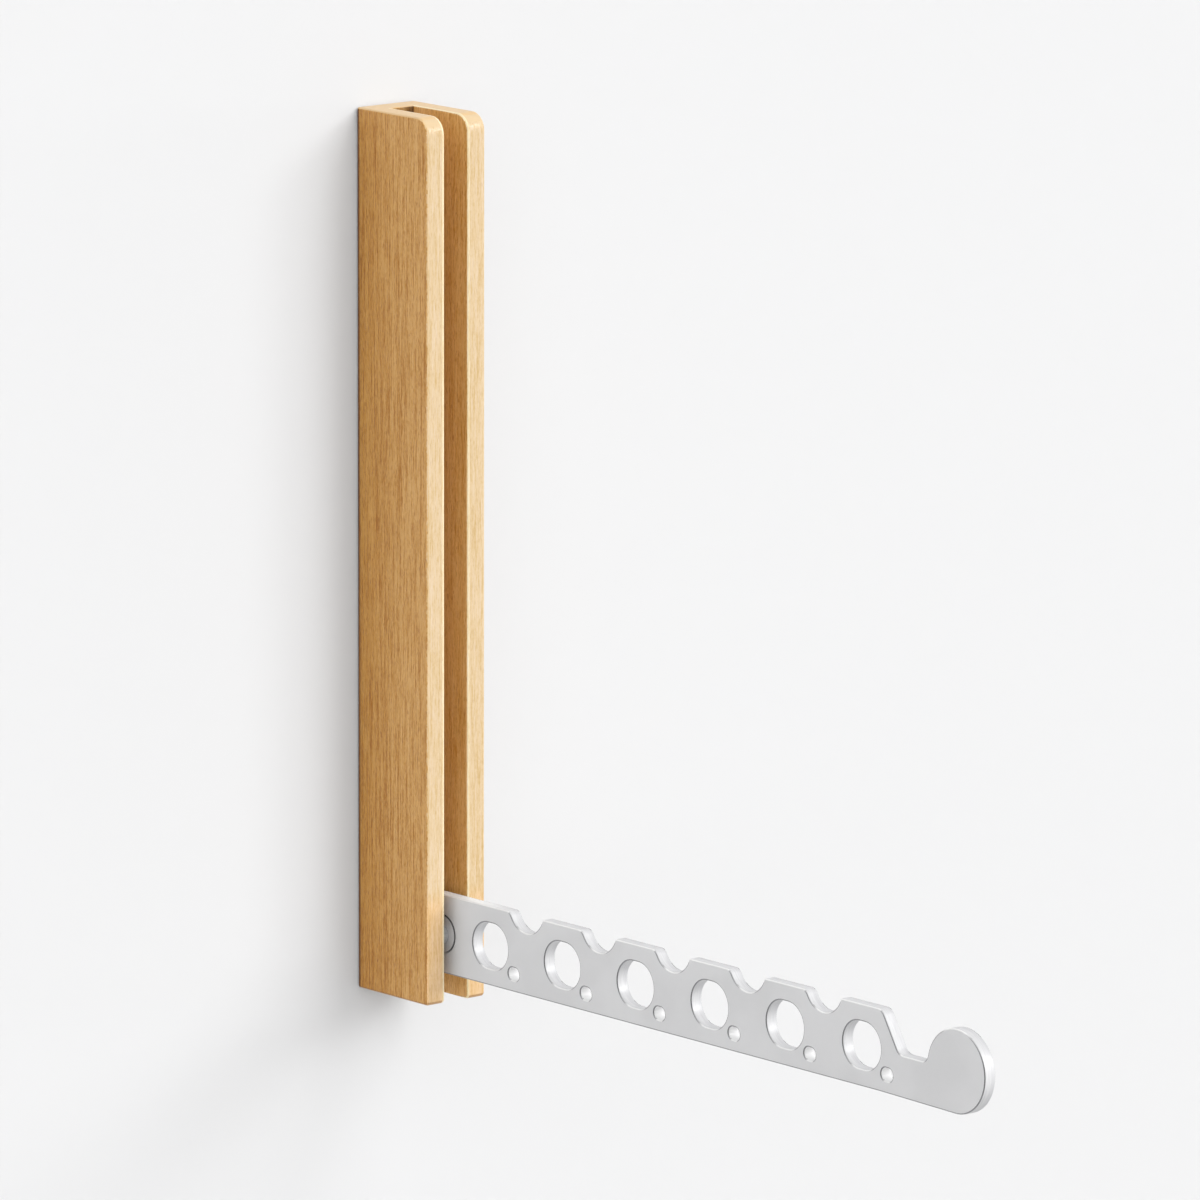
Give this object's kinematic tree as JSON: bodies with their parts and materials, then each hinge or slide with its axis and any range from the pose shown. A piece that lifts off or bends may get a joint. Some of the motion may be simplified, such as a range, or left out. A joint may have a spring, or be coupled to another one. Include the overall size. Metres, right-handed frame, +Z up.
{
  "type": "folding wall hanger rail",
  "caption": "Wooden wall channel with a notched metal arm that folds down for clothes hangers and up into the channel's slot.",
  "frame": {"origin": "middle of the holder's back face, which lies on the wall", "axes": "+Z up, +Y into the wall, so the arm stands out along -Y, and +X to the right for someone who faces the wall"},
  "size_m": [0.033, 0.4064, 0.4],
  "materials": {
    "oak": "oiled oak, satin, with straight grain",
    "arm_metal": "bead-blasted and clear anodised, satin",
    "pin_steel": "ground",
    "bush_steel": "satin",
    "washer_nylon": "natural nylon, moulded, matte",
    "sleeve_rubber": "matte"
  },
  "bodies": {
    "holder": {"oak_holder": "oak", "pivot_pin": "pin_steel", "washer_left": "washer_nylon", "washer_right": "washer_nylon", "pivot_plug": "oak", "stop_pin": "pin_steel", "stop_sleeve": "sleeve_rubber", "stop_plug": "oak"},
    "arm": {"hanger_arm": "arm_metal", "bush_left": "bush_steel", "bush_right": "bush_steel"}
  },
  "joints": [
    {"name": "arm_fold", "type": "hinge", "parent": "holder", "child": "arm", "pos_m": [0, -0.044, -0.1695], "axis": [-1, 0, 0], "range_deg": [0, 90]}
  ]
}
